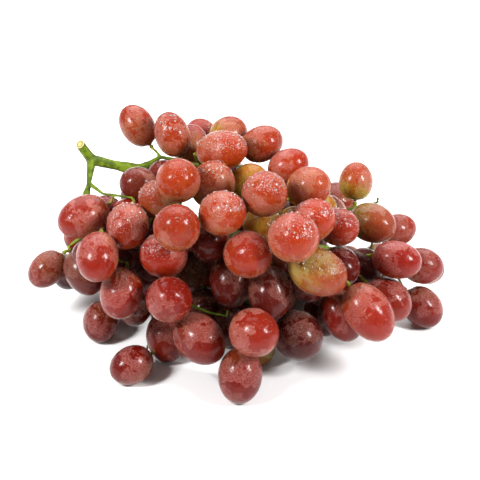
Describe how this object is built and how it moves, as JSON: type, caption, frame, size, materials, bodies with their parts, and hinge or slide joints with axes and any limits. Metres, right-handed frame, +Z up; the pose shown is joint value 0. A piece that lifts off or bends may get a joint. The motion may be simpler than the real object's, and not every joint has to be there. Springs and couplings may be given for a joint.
{
  "type": "bunch of grapes",
  "caption": "Bunch of red table grapes lying on its side, with a forked green stalk and a cut peduncle at one end.",
  "frame": {"origin": "centre of the bounding box in plan, on the surface the bunch rests on", "axes": "+X runs along the bunch from the cut peduncle's end to the loose end, +Y points to its back, +Z is up; the show side faces -Y and leans back"},
  "size_m": [0.2112, 0.1602, 0.1046],
  "materials": {
    "skin_red": "satin",
    "skin_rose": "satin",
    "skin_amber": "satin",
    "skin_dark": "satin",
    "skin_mixed": "satin",
    "stem_skin": "satin"
  },
  "bodies": {
    "root": {"berry_01": "skin_red", "berry_02": "skin_rose", "berry_03": "skin_rose", "berry_04": "skin_amber", "berry_05": "skin_rose", "berry_06": "skin_red", "berry_07": "skin_red", "berry_08": "skin_red", "berry_09": "skin_amber", "berry_10": "skin_rose", "berry_11": "skin_red", "berry_12": "skin_red", "berry_13": "skin_rose", "berry_14": "skin_red", "berry_15": "skin_dark", "berry_16": "skin_red", "berry_17": "skin_red", "berry_18": "skin_red", "berry_19": "skin_rose", "berry_20": "skin_red", "berry_21": "skin_rose", "berry_22": "skin_amber", "berry_23": "skin_rose", "berry_24": "skin_red", "berry_25": "skin_rose", "berry_26": "skin_amber", "berry_27": "skin_dark", "berry_28": "skin_dark", "berry_29": "skin_rose", "berry_30": "skin_red", "berry_31": "skin_rose", "berry_32": "skin_red", "berry_33": "skin_rose", "berry_34": "skin_red", "berry_35": "skin_dark", "berry_36": "skin_red", "berry_37": "skin_rose", "berry_38": "skin_rose", "berry_39": "skin_red", "berry_40": "skin_rose", "berry_41": "skin_amber", "berry_42": "skin_red", "cluster_01": "skin_mixed", "cluster_02": "skin_mixed", "cluster_03": "skin_mixed", "cluster_04": "skin_mixed", "cluster_05": "skin_mixed", "cluster_06": "skin_mixed", "cluster_07": "skin_mixed", "cluster_08": "skin_mixed", "cluster_09": "skin_mixed", "cluster_10": "skin_mixed", "cluster_11": "skin_mixed", "cluster_12": "skin_mixed", "cluster_13": "skin_mixed", "cluster_14": "skin_mixed", "cluster_15": "skin_mixed", "stem": "stem_skin"}
  },
  "joints": []
}
